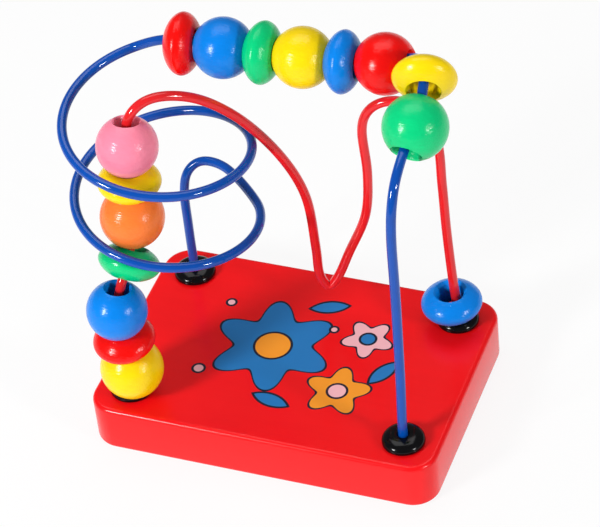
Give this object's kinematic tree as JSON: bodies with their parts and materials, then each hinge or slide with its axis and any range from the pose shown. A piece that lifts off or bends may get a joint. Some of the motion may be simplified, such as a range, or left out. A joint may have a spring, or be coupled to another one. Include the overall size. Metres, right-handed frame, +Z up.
{
  "type": "wooden bead maze toy",
  "caption": "Wooden bead maze toy: turned beads thread on bent painted wires, one wound into a coil, that stand in domed plugs on a flat rectangular base.",
  "frame": {"origin": "centre of the base's flat underside", "axes": "+X along the base's long side, from the coil's end to the hook's end; +Y from the front edge to the back edge; +Z up"},
  "size_m": [0.129, 0.0844, 0.1437],
  "materials": {
    "board_red": "gloss red lacquer",
    "bead_red": "gloss lacquer",
    "bead_blue": "gloss lacquer",
    "bead_green": "gloss lacquer",
    "bead_yellow": "gloss lacquer",
    "bead_orange": "gloss lacquer",
    "bead_pink": "gloss lacquer",
    "wire_blue": "gloss coating",
    "wire_red": "gloss coating",
    "plug_black": "gloss"
  },
  "bodies": {
    "base": {"board": "board_red", "plug_front_left": "plug_black", "plug_front_right": "plug_black", "plug_back_left": "plug_black", "plug_back_right": "plug_black", "wire_blue": "wire_blue", "wire_red": "wire_red"},
    "row_1_red_disc": {"row_1_red_disc": "bead_red"},
    "row_2_blue_ball": {"row_2_blue_ball": "bead_blue"},
    "row_3_green_disc": {"row_3_green_disc": "bead_green"},
    "row_4_yellow_ball": {"row_4_yellow_ball": "bead_yellow"},
    "row_5_blue_disc": {"row_5_blue_disc": "bead_blue"},
    "row_6_red_ball": {"row_6_red_ball": "bead_red"},
    "row_7_yellow_disc": {"row_7_yellow_disc": "bead_yellow"},
    "row_8_green_ball": {"row_8_green_ball": "bead_green"},
    "stack_1_yellow_ball": {"stack_1_yellow_ball": "bead_yellow"},
    "stack_2_red_disc": {"stack_2_red_disc": "bead_red"},
    "stack_3_blue_ball": {"stack_3_blue_ball": "bead_blue"},
    "stack_4_green_disc": {"stack_4_green_disc": "bead_green"},
    "stack_5_orange_ball": {"stack_5_orange_ball": "bead_orange"},
    "stack_6_yellow_disc": {"stack_6_yellow_disc": "bead_yellow"},
    "stack_7_pink_ball": {"stack_7_pink_ball": "bead_pink"},
    "post_blue_disc": {"post_blue_disc": "bead_blue"}
  },
  "joints": [
    {"name": "row_1_red_disc_swing", "type": "hinge", "parent": "base", "child": "row_1_red_disc", "pos_m": [-0.03392, -0.01133, 0.0998], "axis": [-0.1617, -0.6215, 0.7666], "range_deg": [0, 31.13]},
    {"name": "row_2_blue_ball_slide", "type": "slide", "parent": "base", "child": "row_2_blue_ball", "axis": [-0.9984, -0.0193, -0.0535], "range_m": [0, 0.019]},
    {"name": "row_3_green_disc_slide", "type": "slide", "parent": "base", "child": "row_3_green_disc", "axis": [-0.9977, 0.0021, 0.068], "range_m": [0, 0.0182]},
    {"name": "row_4_yellow_ball_slide", "type": "slide", "parent": "base", "child": "row_4_yellow_ball", "axis": [-0.9977, -0.0022, 0.0683], "range_m": [0, 0.0178]},
    {"name": "row_5_blue_disc_slide", "type": "slide", "parent": "base", "child": "row_5_blue_disc", "axis": [-0.997, -0.0254, 0.0735], "range_m": [0, 0.0174]},
    {"name": "row_6_red_ball_slide", "type": "slide", "parent": "base", "child": "row_6_red_ball", "axis": [-0.9996, -0.0269, 0.0007], "range_m": [0, 0.017]},
    {"name": "row_7_yellow_disc_slide", "type": "slide", "parent": "base", "child": "row_7_yellow_disc", "axis": [0.1502, -0.9349, -0.3216], "range_m": [0, 0.006]},
    {"name": "row_8_green_ball_slide", "type": "slide", "parent": "base", "child": "row_8_green_ball", "axis": [-0.0724, -0.9632, -0.2589], "range_m": [0, 0.016]},
    {"name": "stack_1_yellow_ball_slide", "type": "slide", "parent": "base", "child": "stack_1_yellow_ball", "axis": [0.094, 0.3202, 0.9427], "range_m": [0, 0.00213]},
    {"name": "stack_2_red_disc_slide", "type": "slide", "parent": "base", "child": "stack_2_red_disc", "axis": [0.1653, 0.3674, 0.9153], "range_m": [0, 0.00229]},
    {"name": "stack_3_blue_ball_slide", "type": "slide", "parent": "base", "child": "stack_3_blue_ball", "axis": [0.0556, 0.5492, 0.8338], "range_m": [0, 0.00305]},
    {"name": "stack_4_green_disc_slide", "type": "slide", "parent": "base", "child": "stack_4_green_disc", "axis": [-0.0336, 0.6398, 0.7678], "range_m": [0, 0.00328]},
    {"name": "stack_5_orange_ball_slide", "type": "slide", "parent": "base", "child": "stack_5_orange_ball", "axis": [0, 0.0995, 0.995], "range_m": [0, 0.0044]},
    {"name": "stack_6_yellow_disc_slide", "type": "slide", "parent": "base", "child": "stack_6_yellow_disc", "axis": [0.1093, 0.2078, 0.972], "range_m": [0, 0.0047]},
    {"name": "stack_7_pink_ball_swing", "type": "hinge", "parent": "base", "child": "stack_7_pink_ball", "pos_m": [-0.00509, -0.01874, 0.11196], "axis": [0.0395, 0.9546, -0.2953], "range_deg": [0, 7.77]},
    {"name": "post_blue_disc_slide", "type": "slide", "parent": "base", "child": "post_blue_disc", "axis": [-0.0077, -0.0012, 1], "range_m": [0, 0.066]}
  ],
  "couplings": [
    {"joint": "row_2_blue_ball_slide", "follows": "row_1_red_disc_swing", "m_per_rad": 0.034966},
    {"joint": "row_3_green_disc_slide", "follows": "row_1_red_disc_swing", "m_per_rad": 0.033494},
    {"joint": "row_4_yellow_ball_slide", "follows": "row_1_red_disc_swing", "m_per_rad": 0.032758},
    {"joint": "row_5_blue_disc_slide", "follows": "row_1_red_disc_swing", "m_per_rad": 0.032022},
    {"joint": "row_6_red_ball_slide", "follows": "row_1_red_disc_swing", "m_per_rad": 0.031285},
    {"joint": "row_7_yellow_disc_slide", "follows": "row_8_green_ball_slide", "ratio": 0.37496},
    {"joint": "stack_1_yellow_ball_slide", "follows": "stack_7_pink_ball_swing", "m_per_rad": 0.015704},
    {"joint": "stack_2_red_disc_slide", "follows": "stack_7_pink_ball_swing", "m_per_rad": 0.016884},
    {"joint": "stack_3_blue_ball_slide", "follows": "stack_7_pink_ball_swing", "m_per_rad": 0.022488},
    {"joint": "stack_4_green_disc_slide", "follows": "stack_7_pink_ball_swing", "m_per_rad": 0.024184},
    {"joint": "stack_5_orange_ball_slide", "follows": "stack_7_pink_ball_swing", "m_per_rad": 0.032442},
    {"joint": "stack_6_yellow_disc_slide", "follows": "stack_7_pink_ball_swing", "m_per_rad": 0.034654}
  ]
}
